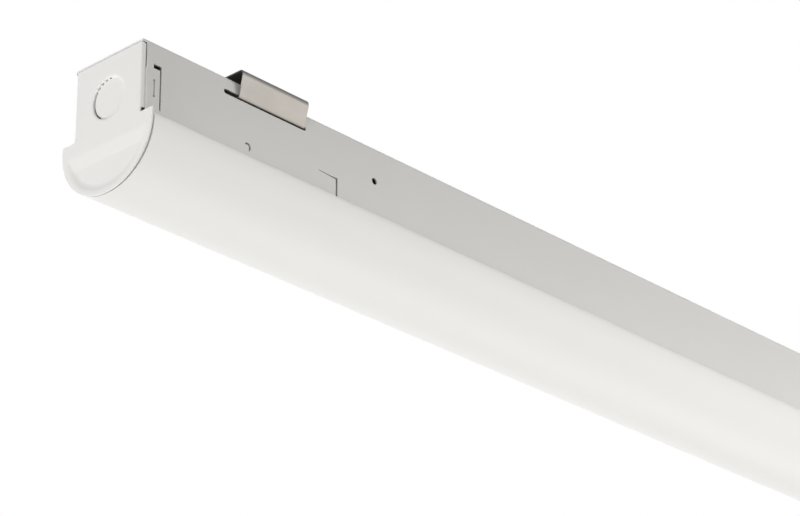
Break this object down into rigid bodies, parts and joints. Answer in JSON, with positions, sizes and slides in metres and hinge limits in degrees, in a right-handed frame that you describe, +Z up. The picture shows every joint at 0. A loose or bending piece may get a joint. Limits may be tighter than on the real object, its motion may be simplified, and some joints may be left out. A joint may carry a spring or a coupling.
{
  "type": "led strip light fixture",
  "caption": "Surface or chain mounted strip light: folded steel channel, crowned diffusing lens, knockout end plates and sliding spring clips for the ceiling.",
  "frame": {"origin": "centre of the channel's back, the flat face that is turned to the ceiling, half way along the fixture", "axes": "+X along the fixture from the end shown in the picture to the other, +Y across it away from the side shown, +Z up to the ceiling; the lens hangs down to -Z"},
  "size_m": [1.219, 0.0572, 0.072],
  "materials": {
    "painted_steel": "smooth satin white powder paint",
    "spring_steel": "bare rolled spring steel",
    "tray_paint": "high reflectance white paint",
    "board_white": "white solder mask",
    "lamp_phosphor": "phosphor silicone",
    "white_plastic": "moulded nylon",
    "grey_rubber": "matt",
    "driver_metal": "bare sheet",
    "screw_steel": "zinc plated",
    "green_screw": "green passivated",
    "wire_black": "wire insulation",
    "wire_white": "wire insulation",
    "wire_red": "wire insulation",
    "wire_blue": "wire insulation",
    "orange_plastic": "moulded nylon",
    "contact_brass": "plain",
    "lens_plastic": "satin opal diffusing acrylic",
    "leg_plastic": "white acrylic, extruded in one with the lens"
  },
  "bodies": {
    "housing": {"channel": "painted_steel", "end_plate_near": "painted_steel", "end_plate_far": "painted_steel", "ground_screw": "green_screw"},
    "clip_near": {"mounting_clip_near": "spring_steel"},
    "clip_far": {"mounting_clip_far": "spring_steel"},
    "light_engine": {"gear_tray": "tray_paint", "led_board_1": "board_white", "led_board_2": "board_white", "led_board_3": "board_white", "led_board_4": "board_white", "led_chips_1": "lamp_phosphor", "led_chips_2": "lamp_phosphor", "led_chips_3": "lamp_phosphor", "led_chips_4": "lamp_phosphor", "board_connectors": "white_plastic", "board_jumpers": "wire_white", "board_rivets": "white_plastic", "tray_bushing": "grey_rubber", "driver_base": "driver_metal", "driver_cover": "driver_metal", "driver_screws": "screw_steel", "driver_bushings": "grey_rubber", "line_lead_black": "wire_black", "line_lead_white": "wire_white", "output_lead_red": "wire_red", "output_lead_blue": "wire_blue", "disconnect_plug": "orange_plastic", "disconnect_contacts": "contact_brass"},
    "socket": {"disconnect_socket": "white_plastic"},
    "lens": {"lens": "lens_plastic", "lens_legs": "leg_plastic"}
  },
  "joints": [
    {"name": "clip_near_slide", "type": "slide", "parent": "housing", "child": "clip_near", "axis": [-1, 0, 0], "range_m": [-0.0014, 0.0075]},
    {"name": "clip_far_slide", "type": "slide", "parent": "housing", "child": "clip_far", "axis": [1, 0, 0], "range_m": [-0.0014, 0.0075]},
    {"name": "light_engine_drop", "type": "slide", "parent": "housing", "child": "light_engine", "axis": [0, 0, -1], "range_m": [0, 0.06]},
    {"name": "lens_pull", "type": "slide", "parent": "light_engine", "child": "lens", "axis": [0, 0, -1], "range_m": [0, 0.04]},
    {"name": "disconnect_unplug", "type": "slide", "parent": "light_engine", "child": "socket", "axis": [-1, 0, 0], "range_m": [0, 0.015]}
  ]
}
